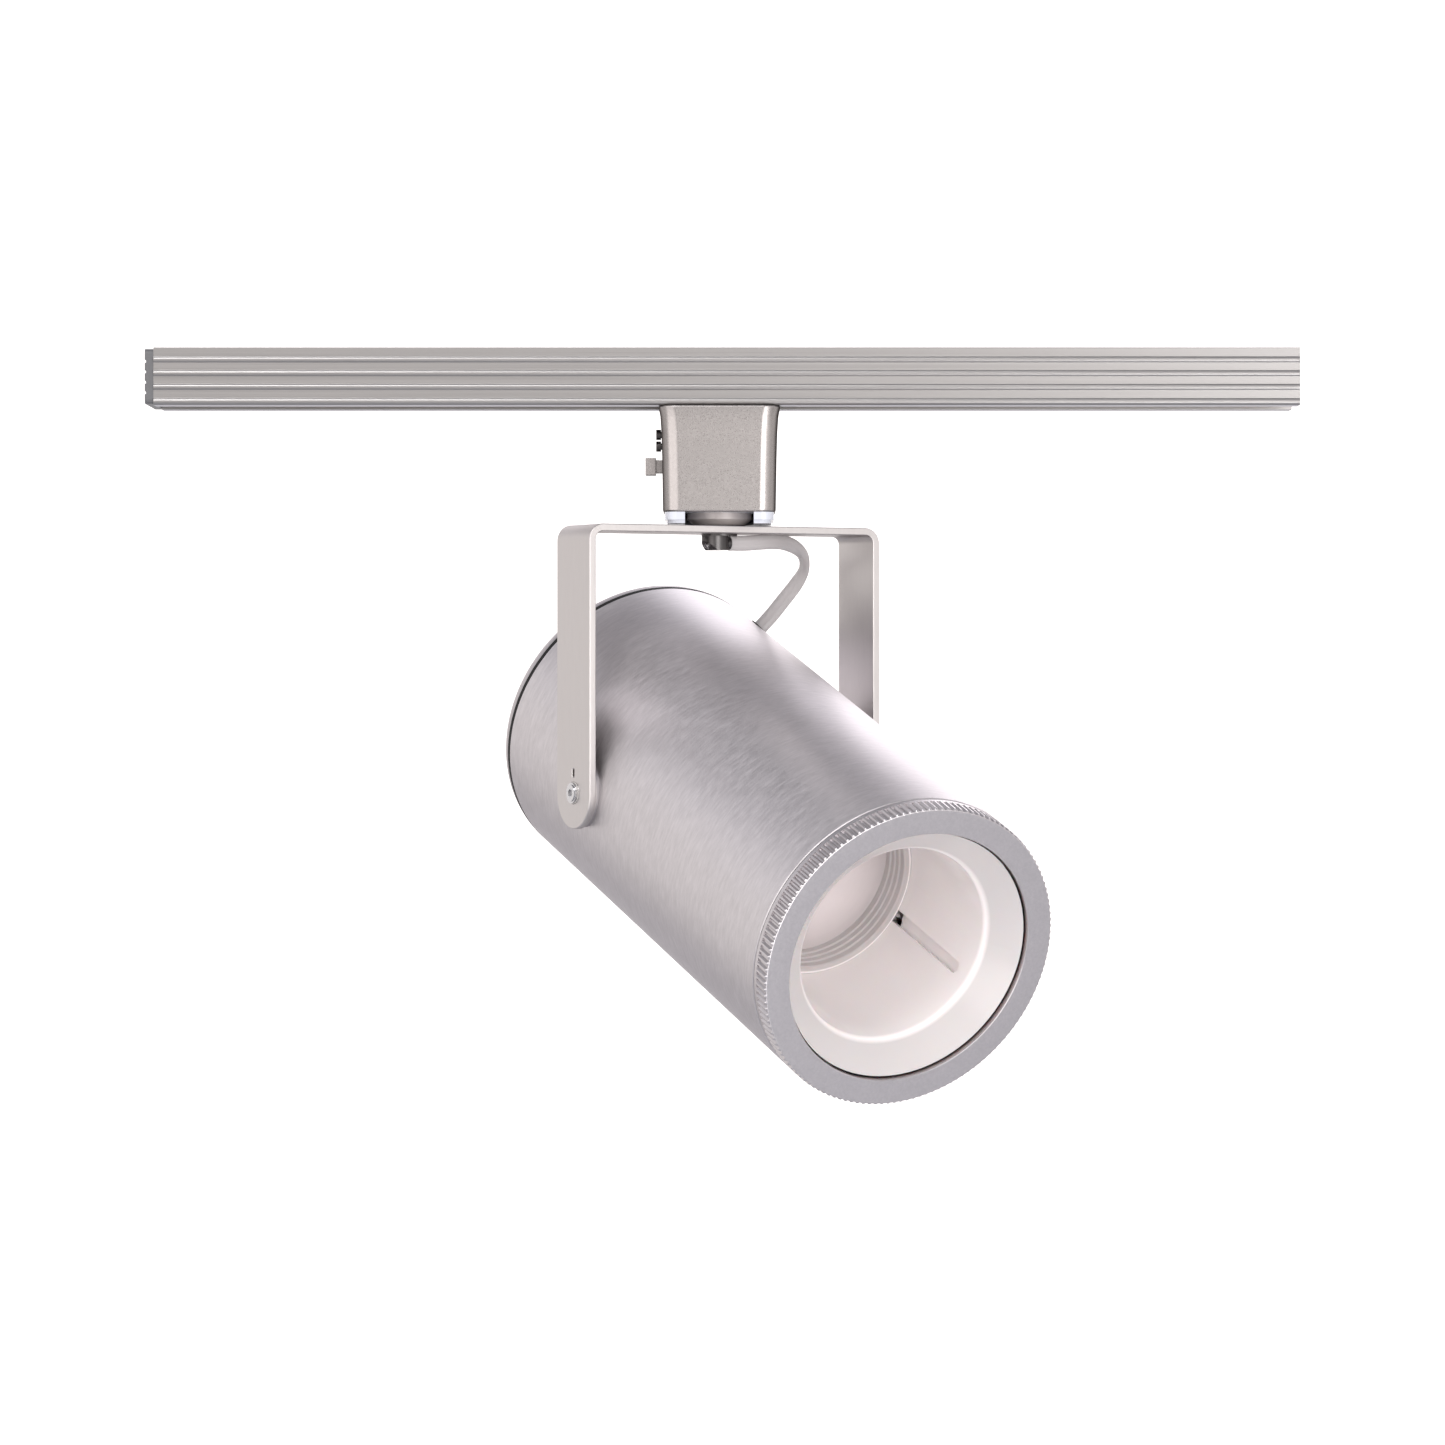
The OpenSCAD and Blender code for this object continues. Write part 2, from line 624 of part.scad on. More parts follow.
// White guide tube with its flared mouth, a lengthwise slot and a mounting flange
module guide_sleeve() color([0.95, 0.93, 0.92]) in_head() difference() {
    rotate_extrude() polygon(concat(
        [[sleeve_r - 3, sleeve_s0], [sleeve_r - 3, sleeve_s0 + 2], [sleeve_r, sleeve_s0 + 2]],
        arc([sleeve_r + mouth_r, mouth_s], mouth_r, 180, 135, 8),
        [[bezel_r, mouth_s + bezel_r - sleeve_r + (1.414 - 1) * mouth_r],
            [bezel_r, mouth_s + bezel_r - sleeve_r - 0.6],
            [sleeve_r + sleeve_wall, mouth_s + 1.3],
            [sleeve_r + sleeve_wall, sleeve_s0 + 3], [tube_r - 0.05, sleeve_s0 + 3],
            [tube_r - 0.05, sleeve_s0]]));
    rotate([0, 0, slot_angle]) {
        box(sleeve_r - 2, sleeve_r + 3, -slot_width / 2, slot_width / 2,
            pin_s, pin_s + zoom_travel);
        for (s = [pin_s, pin_s + zoom_travel])
            translate([0, 0, s]) rod_x(slot_width / 2, sleeve_r - 2, sleeve_r + 3);
    }
    for (a = post_angles) rotate([0, 0, a]) translate([post_r, 0, 0])
        disc(1.55, sleeve_s0 - 1, sleeve_s0 + 4);
}

module both_pivots() in_head() for (side = [0, 1]) mirror([side, 0, 0]) children();

module pivot_screws() color([0.85, 0.85, 0.87]) both_pivots() difference() {
    x0 = yoke_inner / 2 + strap_t + 0.1;
    union() {
        rod_x(pivot_d / 2, tube_r - 5, x0);
        rod_x(3, x0, x0 + 0.6);
        rod_x(2.4, x0 + 0.6 - eps, x0 + 0.9);
    }
    translate([x0 + 0.1, 0, 0]) rotate([0, 90, 0]) cylinder(r = 1.3, h = 2, $fn = 6);
}

module pivot_spacers() color([0.80, 0.79, 0.79]) both_pivots() difference() {
    rod_x(spacer_d / 2, head_r - 2, spacer_x1);
    rod_x(pivot_d / 2 + 0.2, head_r - 3, 60);
    translate([0, 0, -20]) cylinder(r = head_r, h = 40, $fn = 720);
}

module friction_washers() color([0.75, 0.74, 0.73]) both_pivots() difference() {
    rod_x(spacer_d / 2, spacer_x1, washer_x1);
    rod_x(pivot_d / 2 + 0.2, spacer_x1 - 1, 60);
}

module pivot_nut_plates() color([0.6, 0.6, 0.62]) both_pivots() difference() {
    intersection() {
        box(tube_r - 4, tube_r + 1, -7, 7, -7, 7);
        disc(tube_r - 0.02, -8, 8);
    }
    rod_x(pivot_d / 2 + 0.05, tube_r - 5, tube_r + 1);
}

module cord_grommet() color([0.15, 0.15, 0.15]) in_head() at_entry() {
    rod_x(3.15, tube_r - 1.5, entry_r);
    rod_x(4.2, tube_r - 2.3, tube_r - 1.0);
}

// ---------- focus ring ----------

// One grip tooth is a raised flat, a slope, a root and a slope
function tooth_r(k) = k < 2 ? head_r : head_r - tooth_d;
module grip_outline() polygon([for (i = [0:grip_teeth - 1], k = [0:3])
    let (a = 360 / grip_teeth * (i + [0.05, 0.45, 0.6, 0.9][k]))
    tooth_r(k) * [cos(a), sin(a)]]);

module focus_ring() color([0.74, 0.72, 0.73]) in_head() difference() {
    union() {
        translate([0, 0, band_s0]) linear_extrude(band_s1 - band_s0) grip_outline();
        rotate_extrude() polygon([[30, ring_s0], [head_r - 0.2, ring_s0],
            [head_r - 0.2, band_s0], [head_r - tooth_d - 0.3, band_s0],
            [head_r - tooth_d - 0.3, band_s1], [head_r - 0.2, band_s1],
            [head_r - 0.6, nose], [30, nose]]);
        disc(tube_r - 0.08, ring_s0 - 10, ring_s0 + 1);
    }
    disc(ring_bore / 2, ring_s0 - 20, nose + 1);
    disc(ring_bore / 2 + 1.6, ring_s0 - 20, nose - 1.7);
    disc(tube_r - 2.3, ring_s0 - 20, ring_s0 - 0.5);
    for (a = post_angles) rotate([0, 0, a]) translate([0, 0, cam_flange_s + 1.25])
        rod_x(1.3, 30, 50);
}

module cam_sleeve() color([0.93, 0.90, 0.89]) in_head() difference() {
    union() {
        disc(cam_r0 + cam_t, cam_s0, cam_s1);
        disc(tube_r - 2.35, cam_flange_s, cam_flange_s + 2.5);
    }
    disc(cam_r0, cam_s0 - 1, cam_s1 + 1);
    for (i = [0:cam_cuts])
        rotate([0, 0, slot_angle - ring_turn * i / cam_cuts])
            translate([0, 0, pin_s + zoom_travel * i / cam_cuts])
                rod_x(cam_slot_r, cam_r0 - 1, cam_r0 + cam_t + 1);
    for (a = post_angles) rotate([0, 0, a]) translate([0, 0, cam_flange_s + 1.25])
        rod_x(0.9, 35, 50);
}

module ring_screws() color([0.5, 0.5, 0.52]) in_head()
    for (a = post_angles) rotate([0, 0, a]) translate([0, 0, cam_flange_s + 1.25]) {
        rod_x(0.85, 35.5, tube_r - 2.3);
        rod_x(1.25, tube_r - 2.3, tube_r - 0.3);
    }

// ---------- lens group ----------

module lens_carrier() color([0.94, 0.92, 0.92]) in_head() difference() {
    rotate_extrude() polygon([[lens_r + 0.05, carrier_s0], [lens_r + 0.05, 57.2],
        [24.8, 57.2], [24.8, 59.2], [25.2, 59.6], [25.2, 61.2], [25.6, 61.6],
        [25.6, 63.2], [26, 63.6], [26, 65.6], [26.4, carrier_s1],
        [carrier_r - 0.4, carrier_s1], [carrier_r, carrier_s1 - 0.4],
        [carrier_r, carrier_s0]]);
    rotate([0, 0, slot_angle]) translate([0, 0, pin_s]) rod_x(pin_d / 2, 27, 40);
}

module zoom_lens() color([0.88, 0.90, 0.95]) in_head() rotate_extrude() polygon(concat(
    [[0, 51.9], [lens_r, 51.9], [lens_r, 57.15], [24.6, 57.15]],
    [for (i = [0:10]) let (r = 24 * (1 - i / 10)) [r, 57.3 + 3.6 * (1 - pow(r / 24, 2))]]));

module lens_retainer() color([0.15, 0.15, 0.15]) in_head()
    tube(lens_r, 24.4, 50.2, 51.9);

module follower_pin() color([0.7, 0.7, 0.72]) in_head()
    rotate([0, 0, slot_angle]) translate([0, 0, pin_s])
        rod_x(pin_d / 2 - 0.02, 27, cam_r0 + cam_t - 0.1);

track_rail();
insulator_front();
insulator_rear();
conductor_live();
conductor_neutral();
ground_strip();
track_end_cap();
end_cap_screw();
adapter_housing();
adapter_bottom_cover();
adapter_neck();
contact_live();
contact_neutral();
ground_contact();
adapter_screws();
swivel_bushing();
lever_guide_rivets();
lock_lever();
yoke_bracket();
swivel_stem();
stem_clip();
swivel_washer();
stem_nut();
cord_elbow();
elbow_set_screw();
arm_bushings();
power_cord();
body_tube();
rear_gasket();
rear_cap();
rear_cap_screws();
driver_housing();
heat_sink();
led_board();
led_emitter();
led_holder();
collimator_lens();
collimator_holder();
standoffs();
guide_sleeve();
sleeve_screws();
pivot_screws();
pivot_spacers();
friction_washers();
pivot_nut_plates();
cord_grommet();
focus_ring();
cam_sleeve();
ring_screws();
lens_carrier();
zoom_lens();
lens_retainer();
follower_pin();
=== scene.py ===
"""Looks of the track spotlight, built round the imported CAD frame."""
import json
import math

import bmesh
import bpy
from mathutils import Matrix, Vector

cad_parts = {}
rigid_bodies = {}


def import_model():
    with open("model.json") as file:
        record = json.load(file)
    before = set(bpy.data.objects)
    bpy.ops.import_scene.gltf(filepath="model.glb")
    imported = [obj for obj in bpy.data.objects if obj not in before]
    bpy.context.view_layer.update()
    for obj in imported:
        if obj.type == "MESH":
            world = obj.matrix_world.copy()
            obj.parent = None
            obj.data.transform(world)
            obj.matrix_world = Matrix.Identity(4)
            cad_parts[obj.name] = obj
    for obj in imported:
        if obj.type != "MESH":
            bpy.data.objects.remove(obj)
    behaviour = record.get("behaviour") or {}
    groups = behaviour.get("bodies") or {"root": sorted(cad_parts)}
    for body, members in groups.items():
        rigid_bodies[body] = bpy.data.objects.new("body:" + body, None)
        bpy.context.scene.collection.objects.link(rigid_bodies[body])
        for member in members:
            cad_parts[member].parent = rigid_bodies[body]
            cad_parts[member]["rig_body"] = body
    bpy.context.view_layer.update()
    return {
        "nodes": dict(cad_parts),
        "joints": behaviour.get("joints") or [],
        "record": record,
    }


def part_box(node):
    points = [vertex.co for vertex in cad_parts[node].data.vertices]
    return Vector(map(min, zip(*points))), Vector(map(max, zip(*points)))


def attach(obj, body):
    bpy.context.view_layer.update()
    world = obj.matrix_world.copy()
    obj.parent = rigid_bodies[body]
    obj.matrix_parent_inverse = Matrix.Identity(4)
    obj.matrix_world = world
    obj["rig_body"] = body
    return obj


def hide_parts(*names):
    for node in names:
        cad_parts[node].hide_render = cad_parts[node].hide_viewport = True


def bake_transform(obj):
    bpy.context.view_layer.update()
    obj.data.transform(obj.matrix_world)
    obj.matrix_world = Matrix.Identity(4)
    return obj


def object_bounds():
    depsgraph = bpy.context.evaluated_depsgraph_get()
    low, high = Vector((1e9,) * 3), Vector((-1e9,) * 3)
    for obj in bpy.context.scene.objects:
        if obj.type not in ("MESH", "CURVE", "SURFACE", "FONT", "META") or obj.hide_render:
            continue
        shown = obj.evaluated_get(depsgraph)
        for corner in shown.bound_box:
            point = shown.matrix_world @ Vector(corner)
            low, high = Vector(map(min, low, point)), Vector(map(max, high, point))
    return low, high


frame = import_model()
MM = 0.001

# ---------------------------------------------------------------- frame data

JOINTS = {joint["name"]: joint for joint in frame["joints"]}
PIVOT = Vector(JOINTS["head_tilt"]["pos_m"])
ACROSS = Vector(JOINTS["head_tilt"]["axis"])
FORWARD = Vector(JOINTS["focus_turn"]["axis"])
UPRIGHT = FORWARD.cross(ACROSS)
CEILING = Vector((0, 0, 1))


def local_frame(x_axis, y_axis, z_axis, origin):
    """A matrix that places a local frame in the row frame."""
    columns = Matrix((x_axis, y_axis, z_axis)).transposed().to_4x4()
    return Matrix.Translation(origin) @ columns


# Head: Z forward along the head. Yoke: X along the tilt axis, Z up.
HEAD = local_frame(ACROSS, UPRIGHT, FORWARD, PIVOT)
YOKE = local_frame(ACROSS, CEILING.cross(ACROSS), CEILING, PIVOT)


def turned_span(node):
    """How far a CAD node reaches along the head's axis, and from it: low, high, inner, outer."""
    to_head = HEAD.inverted()
    points = [to_head @ v.co for v in frame["nodes"][node].data.vertices]
    radii = [math.hypot(p.x, p.y) for p in points]
    along = [p.z for p in points]
    return min(along), max(along), min(radii), max(radii)


# ---------------------------------------------------------------- materials

WHITE = (1, 1, 1, 1)
# How much light metal keeps where it is seen at a low angle
EDGE_TINT = (0.70, 0.68, 0.68)
CAST_EDGE_TINT = (0.15, 0.15, 0.15)
# Most of a noise texture lies in this range
NOISE_LOW, NOISE_HIGH = 0.3, 0.7


class Recipe:
    """One node material in the making."""

    def __init__(self, name, colour, metallic, roughness, matrix=None):
        self.material = bpy.data.materials.new(name)
        self.material.use_nodes = True
        self.tree = self.material.node_tree
        self.shader = self.tree.nodes["Principled BSDF"]
        self.shader.inputs["Base Color"].default_value = (*colour, 1)
        self.shader.inputs["Metallic"].default_value = metallic
        self.shader.inputs["Roughness"].default_value = roughness
        self.shader.inputs["Specular Tint"].default_value = (*EDGE_TINT, 1) if metallic else WHITE
        self.colour = colour
        self.roughness = roughness
        self.place = self.add("ShaderNodeTexCoord").outputs["Object"]
        if matrix is not None:
            self.place = self.mapped("TEXTURE", matrix.to_translation(), matrix.to_euler(), (1, 1, 1))
        self.height = None

    def add(self, kind, **settings):
        """Adds a node of this kind with these settings."""
        node = self.tree.nodes.new(kind)
        for key, value in settings.items():
            setattr(node, key, value)
        return node

    def link(self, start, end):
        self.tree.links.new(start, end)

    def mapped(self, kind, shift, turn, scale):
        """The place coordinates after a Mapping node of this kind."""
        node = self.add("ShaderNodeMapping", vector_type=kind)
        node.inputs["Location"].default_value = shift
        node.inputs["Rotation"].default_value = turn
        node.inputs["Scale"].default_value = scale
        self.link(self.place, node.inputs["Vector"])
        return node.outputs["Vector"]

    def noise(self, stretch, detail=3.0, soft=0.5):
        """Noise whose grains are 1/stretch metres long along each axis."""
        node = self.add("ShaderNodeTexNoise")
        node.inputs["Scale"].default_value = 1.0
        node.inputs["Detail"].default_value = detail
        node.inputs["Roughness"].default_value = soft
        self.link(self.mapped("POINT", (0, 0, 0), (0, 0, 0), stretch), node.inputs["Vector"])
        return node.outputs["Fac"]

    def between(self, factor, low, high, start=NOISE_LOW, end=NOISE_HIGH):
        """Maps a factor that goes from start to end onto the range from low to high."""
        node = self.add("ShaderNodeMapRange")
        node.inputs["From Min"].default_value = start
        node.inputs["From Max"].default_value = end
        node.inputs["To Min"].default_value = low
        node.inputs["To Max"].default_value = high
        self.link(factor, node.inputs["Value"])
        return node.outputs["Result"]

    def shade(self, factor, low, high):
        """Varies the colour's brightness from low to high times the base colour."""
        node = self.add("ShaderNodeMix", data_type="RGBA")
        node.inputs["A"].default_value = (*[c * low for c in self.colour], 1)
        node.inputs["B"].default_value = (*[min(1, c * high) for c in self.colour], 1)
        self.link(self.between(factor, 0, 1), node.inputs["Factor"])
        self.link(node.outputs["Result"], self.shader.inputs["Base Color"])
        return self

    def gloss(self, factor, spread):
        """Varies the roughness by spread either way."""
        value = self.between(factor, self.roughness - spread, self.roughness + spread)
        self.link(value, self.shader.inputs["Roughness"])
        return self

    def bump(self, factor, strength, depth_mm):
        """Adds relief on top of any relief that is already there."""
        node = self.add("ShaderNodeBump")
        node.inputs["Strength"].default_value = strength
        node.inputs["Distance"].default_value = depth_mm * MM
        self.link(factor, node.inputs["Height"])
        if self.height is not None:
            self.link(self.height, node.inputs["Normal"])
        self.height = node.outputs["Normal"]
        self.link(self.height, self.shader.inputs["Normal"])
        return self

    def set(self, **values):
        """Sets the shader's own sockets, with _ for a space in a socket's name."""
        for key, value in values.items():
            self.shader.inputs[key.replace("_", " ")].default_value = value
        return self


def same(scale):
    """The same stretch along all three axes."""
    return (scale, scale, scale)


def grained(name, colour, metallic, roughness, grain_mm=0.35, depth=0.02):
    """A fine, even grain: coated metal and textured plastic."""
    recipe = Recipe(name, colour, metallic, roughness)
    grain = recipe.noise(same(1 / (grain_mm * MM)), 2.0)
    cloud = recipe.noise(same(60), 3.0)
    recipe.shade(cloud, 0.96, 1.04).gloss(grain, 0.05)
    return recipe.bump(grain, 0.35, depth)


def lined(name, colour, roughness, stretch, matrix=None, strength=0.3, contrast=0.05):
    """Metal with fine lines: brushed, drawn or turned. The lines run where stretch is small."""
    recipe = Recipe(name, colour, 1.0, roughness, matrix)
    lines = recipe.noise(stretch, 5.0, 0.7)
    cloud = recipe.noise(same(35), 3.0)
    recipe.shade(lines, 1 - contrast, 1 + contrast * 0.8).gloss(lines, 0.05)
    recipe.bump(lines, strength, 0.012)
    recipe.bump(cloud, 0.15, 0.05)
    return recipe


def moulded(name, colour, roughness, coat=0.0, bump_strength=0.05):
    """Smooth moulded plastic with a faint unevenness."""
    recipe = Recipe(name, colour, 0.0, roughness)
    cloud = recipe.noise(same(80), 3.0)
    fine = recipe.noise(same(2500), 2.0)
    recipe.shade(cloud, 0.98, 1.02).gloss(fine, 0.03).bump(fine, bump_strength, 0.01)
    return recipe.set(Coat_Weight=coat)


def glassy(name, colour, roughness, ior):
    """Clear moulded plastic."""
    recipe = Recipe(name, colour, 0.0, roughness)
    fine = recipe.noise(same(400), 2.0)
    recipe.bump(fine, 0.02, 0.01)
    return recipe.set(Transmission_Weight=1.0, IOR=ior)


def round_the_head(recipe):
    """The direction round the head's axis at each point, for brushed highlights."""
    from_pivot = recipe.add("ShaderNodeVectorMath", operation="SUBTRACT")
    recipe.link(recipe.add("ShaderNodeTexCoord").outputs["Object"], from_pivot.inputs[0])
    from_pivot.inputs[1].default_value = PIVOT
    around = recipe.add("ShaderNodeVectorMath", operation="CROSS_PRODUCT")
    around.inputs[0].default_value = FORWARD
    recipe.link(from_pivot.outputs["Vector"], around.inputs[1])
    in_world = recipe.add(
        "ShaderNodeVectorTransform", vector_type="VECTOR", convert_from="OBJECT", convert_to="WORLD"
    )
    recipe.link(around.outputs["Vector"], in_world.inputs["Vector"])
    return in_world.outputs["Vector"]


# In the head's frame, the guide's mouth starts to flare at this distance from the pivot, and the
# guide is wider than this radius while the lens carrier inside it is narrower
FLARE_START = 108 * MM
BORE_RADIUS = 27 * MM
# Painted shade: how bright the mouth and the carrier are painted, next to the bore
MOUTH_PAINTED_SHADE = 0.58


def gloss_white(name, colour):
    """Glossy white plastic: bright in the bore, with painted shade on the flared mouth and the
    carrier.
    """
    recipe = Recipe(name, colour, 0.0, 0.22, HEAD)
    split = recipe.add("ShaderNodeSeparateXYZ")
    recipe.link(recipe.place, split.inputs["Vector"])
    across = recipe.add("ShaderNodeVectorMath", operation="MULTIPLY")
    across.inputs[1].default_value = (1, 1, 0)
    recipe.link(recipe.place, across.inputs[0])
    radius = recipe.add("ShaderNodeVectorMath", operation="LENGTH")
    recipe.link(across.outputs["Vector"], radius.inputs[0])
    # Painted shade mask: 1 in the bore, 0 on the flared mouth and on the narrower lens carrier, which
    # are painted darker
    behind = recipe.between(split.outputs["Z"], 1, 0, FLARE_START, FLARE_START + 3 * MM)
    wide = recipe.between(radius.outputs["Value"], 0, 1, BORE_RADIUS, BORE_RADIUS + 1 * MM)
    bore = recipe.add("ShaderNodeMath", operation="MINIMUM")
    recipe.link(behind, bore.inputs[0])
    recipe.link(wide, bore.inputs[1])
    recipe.shade(bore.outputs["Value"], MOUTH_PAINTED_SHADE, 1.0)
    recipe.bump(recipe.noise(same(2500), 2.0), 0.05, 0.01)
    return recipe.set(Coat_Weight=0.35)


# Painted shade: the sideways part of the surface's direction over which a casting's sides are painted
# darker
PAINTED_SHADE_SIDE_START, PAINTED_SHADE_SIDE_END = 0.78, 0.95


def cast_nickel(name, colour):
    """Satin nickel over a casting, with a fine grain and painted shade on its sides."""
    recipe = Recipe(name, colour, 1.0, 0.30)
    grain = recipe.noise(same(1 / (0.8 * MM)), 2.0, 0.6)
    fine = recipe.noise(same(1 / (0.3 * MM)), 2.0)
    normal = recipe.add("ShaderNodeNewGeometry").outputs["Normal"]
    split = recipe.add("ShaderNodeSeparateXYZ")
    recipe.link(normal, split.inputs["Vector"])
    side = recipe.add("ShaderNodeMath", operation="ABSOLUTE")
    recipe.link(split.outputs["X"], side.inputs[0])
    # Painted shade: faces that point sideways are painted down to half the base colour, and the grain
    # varies the front faces a little
    front = recipe.between(side.outputs["Value"], 1, 0, PAINTED_SHADE_SIDE_START, PAINTED_SHADE_SIDE_END)
    grain_and_painted_side_shade = recipe.add("ShaderNodeMath", operation="MULTIPLY")
    recipe.link(front, grain_and_painted_side_shade.inputs[0])
    recipe.link(recipe.between(grain, 0.84, 1.0), grain_and_painted_side_shade.inputs[1])
    recipe.shade(recipe.between(grain_and_painted_side_shade.outputs["Value"], NOISE_LOW, NOISE_HIGH, 0, 1), 0.5, 1.02)
    recipe.gloss(fine, 0.06)
    recipe.set(Specular_Tint=(*CAST_EDGE_TINT, 1))
    return recipe.bump(grain, 0.2, 0.02).bump(fine, 0.15, 0.012)


NICKEL = (0.60, 0.575, 0.585)
WARM_NICKEL = (0.58, 0.555, 0.545)
# The tube's brushed lines are 0.9 mm apart along the head and run round it
BRUSHED = (220, 220, 1 / (0.9 * MM))


def make_materials():
    """One finish for each material slot of the record."""
    finishes = {
        "rail_metal": lined("rail_metal", (0.34, 0.328, 0.322), 0.34, (6, 2600, 2600)),
        "liner_plastic": moulded("liner_plastic", (0.80, 0.78, 0.74), 0.45),
        "copper": lined("copper", (0.80, 0.42, 0.26), 0.3, (8, 3000, 3000)),
        "dark_plastic": grained("dark_plastic", (0.12, 0.12, 0.125), 0.0, 0.5),
        "bright_steel": lined("bright_steel", (0.62, 0.62, 0.63), 0.26, same(1800), strength=0.15),
        "satin_cast": cast_nickel("satin_cast", (0.40, 0.375, 0.365)),
        "boss_satin": grained("boss_satin", (0.51, 0.465, 0.45), 0.2, 0.42, 0.45, 0.03),
        "cover_plastic": moulded("cover_plastic", (0.60, 0.62, 0.68), 0.22, coat=0.3),
        "black_plastic": grained("black_plastic", (0.03, 0.03, 0.032), 0.0, 0.45),
        "dark_steel": lined("dark_steel", (0.10, 0.095, 0.095), 0.32, same(2200)),
        "yoke_metal": lined("yoke_metal", WARM_NICKEL, 0.40, (700, 700, 120), contrast=0.04),
        "cord_jacket": moulded("cord_jacket", (0.52, 0.495, 0.495), 0.42, bump_strength=0.15),
        "brushed_nickel": lined("brushed_nickel", NICKEL, 0.45, BRUSHED, HEAD, contrast=0.12),
        "black_rubber": grained("black_rubber", (0.02, 0.02, 0.02), 0.0, 0.6),
        "cap_metal": grained("cap_metal", (0.48, 0.46, 0.468), 1.0, 0.42, 0.3, 0.012),
        "white_plastic": moulded("white_plastic", (0.80, 0.80, 0.79), 0.4),
        "sink_aluminium": lined("sink_aluminium", (0.55, 0.56, 0.58), 0.4, same(900)),
        "board_white": moulded("board_white", (0.85, 0.85, 0.82), 0.35),
        "led_phosphor": moulded("led_phosphor", (0.90, 0.72, 0.15), 0.3, coat=0.5),
        "clear_acrylic": glassy("clear_acrylic", (0.97, 0.98, 1.0), 0.03, 1.49),
        "white_gloss": gloss_white("white_gloss", (0.96, 0.91, 0.90)),
        "ring_metal": lined("ring_metal", NICKEL, 0.36, same(1200), strength=0.2, contrast=0.07),
        "lens_glass": moulded("lens_glass", (0.86, 0.79, 0.79), 0.12, coat=1.0),
    }
    brushed = finishes["brushed_nickel"]
    brushed.set(Anisotropic=0.5, Anisotropic_Rotation=0.25)
    brushed.link(round_the_head(brushed), brushed.shader.inputs["Tangent"])
    finishes["black_rubber"].set(Specular_IOR_Level=0.1)
    finishes["rail_metal"].set(Specular_Tint=(0.86, 0.87, 0.95, 1))
    finishes["lens_glass"].set(Transmission_Weight=0.25, IOR=1.5)
    finishes["white_gloss"].set(Subsurface_Weight=0.15, Subsurface_Scale=0.002)
    return {slot: recipe.material for slot, recipe in finishes.items()}


MATERIALS = make_materials()
NODE_SLOT = {part["node"]: part["material_slot"] for part in frame["record"]["subparts"]}


def dress(obj, slot):
    """Gives an object the finish of a material slot."""
    obj.data.materials.clear()
    obj.data.materials.append(MATERIALS[slot])


def finish_cad_nodes():
    for name, obj in frame["nodes"].items():
        dress(obj, NODE_SLOT[name])


# ---------------------------------------------------------------- mesh tools

# Points this close, in metres, are one point, in a new mesh and in a CAD mesh
SAME_POINT = 1e-7
SAME_CAD_POINT = 2e-6
# Edges sharper than these angles, in degrees, stay sharp in the shading of a new piece, of a
# piece with rounded edges or a cord, and of the casting once its window is cut
SHARP_ANGLE = 35
ROUNDED_SHARP_ANGLE = 50
CASTING_SHARP_ANGLE = 40
# Edges of a CAD node sharper than this, in degrees, are rounded
ROUNDED_ANGLE = 32


def placed(name, data):
    """A new object in the scene."""
    obj = bpy.data.objects.new(name, data)
    bpy.context.scene.collection.objects.link(obj)
    return obj


def new_mesh(name, vertices, faces):
    """A new object in the scene with a mesh of these vertices and faces."""
    mesh = bpy.data.meshes.new(name)
    mesh.from_pydata([tuple(v) for v in vertices], [], faces)
    return placed(name, mesh)


def clean(mesh, smooth_angle):
    """Merges doubled points, turns all faces outwards, and smooths all but sharp edges."""
    work = bmesh.new()
    work.from_mesh(mesh)
    bmesh.ops.remove_doubles(work, verts=work.verts, dist=SAME_POINT)
    bmesh.ops.recalc_face_normals(work, faces=work.faces)
    work.to_mesh(mesh)
    work.free()
    mesh.shade_smooth()
    mesh.set_sharp_from_angle(angle=math.radians(smooth_angle))


def adopt(obj, node, smooth_angle):
    """Cleans a piece's mesh and makes it stand for a CAD node: same body, same slot."""
    clean(obj.data, smooth_angle)
    dress(obj, NODE_SLOT[node])
    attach(obj, frame["nodes"][node]["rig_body"])
    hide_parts(node)


def baked(obj):
    """Turns the modifiers of a piece into plain mesh."""
    graph = bpy.context.evaluated_depsgraph_get()
    mesh = bpy.data.meshes.new_from_object(obj.evaluated_get(graph))
    obj.modifiers.clear()
    obj.data = mesh


def flatten_faces(obj):
    """Lets the large faces set the shading, so that small bevels look like bevels."""
    weigh = obj.modifiers.new("weigh", "WEIGHTED_NORMAL")
    weigh.weight = 80
    weigh.keep_sharp = True
    baked(obj)


def softened(node, width_mm):
    """A copy of a CAD node with its sharp edges rounded a little, in place of the node."""
    work = bmesh.new()
    work.from_mesh(frame["nodes"][node].data)
    bmesh.ops.remove_doubles(work, verts=work.verts, dist=SAME_CAD_POINT)
    bmesh.ops.dissolve_limit(
        work, angle_limit=math.radians(0.5), verts=work.verts, edges=work.edges
    )
    mesh = bpy.data.meshes.new(node + "_edges")
    work.to_mesh(mesh)
    work.free()
    obj = placed(node + "_finish", mesh)
    bevel = obj.modifiers.new("edge", "BEVEL")
    bevel.width = width_mm * MM
    bevel.segments = 2
    bevel.limit_method = "ANGLE"
    bevel.angle_limit = math.radians(ROUNDED_ANGLE)
    bevel.use_clamp_overlap = True
    baked(obj)
    adopt(obj, node, ROUNDED_SHARP_ANGLE)
    flatten_faces(obj)


def ring_faces(rows, columns, closed_rows=False):
    """Faces of a grid whose columns close on themselves, and whose rows may too."""
    faces = []
    for i in range(rows if closed_rows else rows - 1):
        low, high = i * columns, (i + 1) % rows * columns
        for j in range(columns):
            k = (j + 1) % columns
            faces.append((low + j, low + k, high + k, high + j))
    return faces


